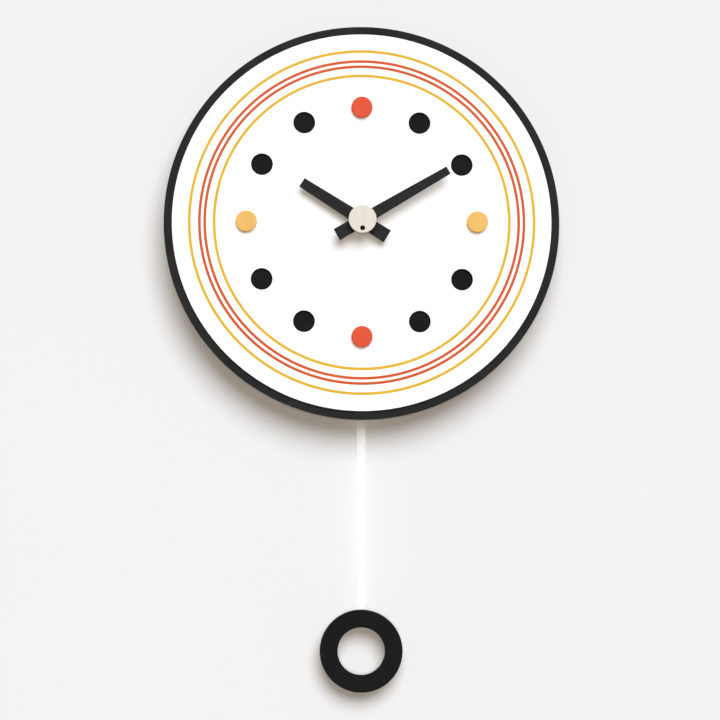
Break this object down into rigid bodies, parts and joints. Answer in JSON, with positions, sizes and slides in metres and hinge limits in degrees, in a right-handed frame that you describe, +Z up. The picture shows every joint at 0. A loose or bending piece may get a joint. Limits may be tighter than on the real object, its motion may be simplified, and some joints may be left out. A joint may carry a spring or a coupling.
{
  "type": "pendulum wall clock",
  "caption": "Round quartz wall clock: white dial on a black board, dot markers, baton hands, a seconds disc and a ring bob on a swinging white rod.",
  "frame": {"origin": "centre of the hanging hole in the plane of the wall", "axes": "+Z up, +Y into the wall (the dial faces -Y), +X to the right of somebody reading the dial"},
  "size_m": [0.3, 0.0495, 0.5049],
  "materials": {
    "black_lacquer_board": "matt black lacquer on fibreboard",
    "white_dial": "satin white print ground with fine coloured rings",
    "red_lacquer": "matt orange-red lacquer",
    "yellow_lacquer": "matt warm yellow lacquer",
    "black_hands": "matt black powder coat",
    "cream_wood": "pale matt wood",
    "dark_inlay": "black",
    "brass_turned": "turned",
    "steel_bright": "bright",
    "black_rubber": "matt",
    "black_case_plastic": "fine moulded texture",
    "white_gear_plastic": "natural acetal",
    "ochre_gear_plastic": "acetal",
    "magnet_nickel": "nickel plated magnet",
    "copper_winding": "enamelled copper wire",
    "circuit_green": "solder resist",
    "epoxy_black": "potted chip",
    "battery_wrap": "plain printed wrap, no marks",
    "contact_nickel": "nickel plated spring steel",
    "grey_arm_plastic": "moulded",
    "white_rod": "white satin acrylic strip"
  },
  "bodies": {
    "clock_body": {"back_board": "black_lacquer_board", "dial_panel": "white_dial", "red_hour_discs": "red_lacquer", "yellow_hour_discs": "yellow_lacquer", "threaded_bush": "brass_turned", "mounting_nut": "brass_turned", "flat_washer": "steel_bright", "rubber_washer": "black_rubber", "movement_front_case": "black_case_plastic", "movement_rear_case": "black_case_plastic", "case_screws": "steel_bright", "middle_plate": "white_gear_plastic", "train_bridge": "white_gear_plastic", "stator": "steel_bright", "coil_core": "steel_bright", "coil_bobbin": "white_gear_plastic", "motor_coil": "copper_winding", "circuit_board": "circuit_green", "quartz_crystal": "steel_bright", "chip_blob": "epoxy_black", "aa_battery": "battery_wrap", "positive_contact": "contact_nickel", "negative_contact": "contact_nickel", "pivot_pin": "steel_bright", "drive_bobbin": "white_gear_plastic", "drive_coil": "copper_winding"},
    "minute_works": {"minute_hand": "black_hands", "minute_pipe": "ochre_gear_plastic"},
    "hour_works": {"hour_hand": "black_hands", "hour_wheel": "ochre_gear_plastic"},
    "minute_wheel_set": {"minute_wheel": "ochre_gear_plastic"},
    "setting_works": {"setting_knob": "black_case_plastic", "setting_arbor": "brass_turned"},
    "seconds_works": {"seconds_wheel": "white_gear_plastic", "seconds_collet": "brass_turned", "seconds_disc": "cream_wood", "seconds_dot": "dark_inlay"},
    "third_wheel_set": {"third_wheel": "white_gear_plastic"},
    "centre_wheel_set": {"centre_wheel": "white_gear_plastic"},
    "intermediate_wheel_set": {"intermediate_wheel": "white_gear_plastic"},
    "rotor": {"rotor_magnet": "magnet_nickel", "rotor_pinion": "white_gear_plastic"},
    "pendulum": {"pendulum_arm": "grey_arm_plastic", "pendulum_magnet": "magnet_nickel", "pendulum_rod": "white_rod", "pendulum_bob": "black_lacquer_board"}
  },
  "joints": [
    {"name": "minute_hand_spin", "type": "hinge", "parent": "clock_body", "child": "minute_works", "pos_m": [0, -0.03, -0.036], "axis": [0, 1, 0], "continuous": true},
    {"name": "hour_hand_spin", "type": "hinge", "parent": "clock_body", "child": "hour_works", "pos_m": [0, -0.03, -0.036], "axis": [0, 1, 0], "continuous": true},
    {"name": "minute_wheel_spin", "type": "hinge", "parent": "clock_body", "child": "minute_wheel_set", "pos_m": [0.00846, -0.0196, -0.03292], "axis": [0, 1, 0], "continuous": true},
    {"name": "setting_knob_spin", "type": "hinge", "parent": "clock_body", "child": "setting_works", "pos_m": [0.01296, -0.01, -0.02513], "axis": [0, 1, 0], "continuous": true},
    {"name": "seconds_spin", "type": "hinge", "parent": "clock_body", "child": "seconds_works", "pos_m": [0, -0.03, -0.036], "axis": [0, 1, 0], "continuous": true},
    {"name": "third_wheel_spin", "type": "hinge", "parent": "clock_body", "child": "third_wheel_set", "pos_m": [-0.00779, -0.016, -0.0315], "axis": [0, 1, 0], "continuous": true},
    {"name": "centre_wheel_spin", "type": "hinge", "parent": "clock_body", "child": "centre_wheel_set", "pos_m": [0, -0.0182, -0.036], "axis": [0, 1, 0], "continuous": true},
    {"name": "intermediate_wheel_spin", "type": "hinge", "parent": "clock_body", "child": "intermediate_wheel_set", "pos_m": [0.0035, -0.013, -0.04206], "axis": [0, 1, 0], "continuous": true},
    {"name": "rotor_spin", "type": "hinge", "parent": "clock_body", "child": "rotor", "pos_m": [0.00941, -0.014, -0.0431], "axis": [0, 1, 0], "continuous": true},
    {"name": "pendulum_swing", "type": "hinge", "parent": "clock_body", "child": "pendulum", "pos_m": [0, -0.011, -0.075], "axis": [0, 1, 0], "range_deg": [-8, 8]}
  ],
  "couplings": [
    {"joint": "hour_hand_spin", "follows": "minute_hand_spin", "ratio": 0.083333},
    {"joint": "minute_wheel_spin", "follows": "minute_hand_spin", "ratio": -0.33333},
    {"joint": "setting_knob_spin", "follows": "minute_hand_spin", "ratio": 1},
    {"joint": "third_wheel_spin", "follows": "seconds_spin", "ratio": -0.13333},
    {"joint": "centre_wheel_spin", "follows": "seconds_spin", "ratio": 0.016667},
    {"joint": "intermediate_wheel_spin", "follows": "seconds_spin", "ratio": -6},
    {"joint": "rotor_spin", "follows": "seconds_spin", "ratio": 30}
  ]
}
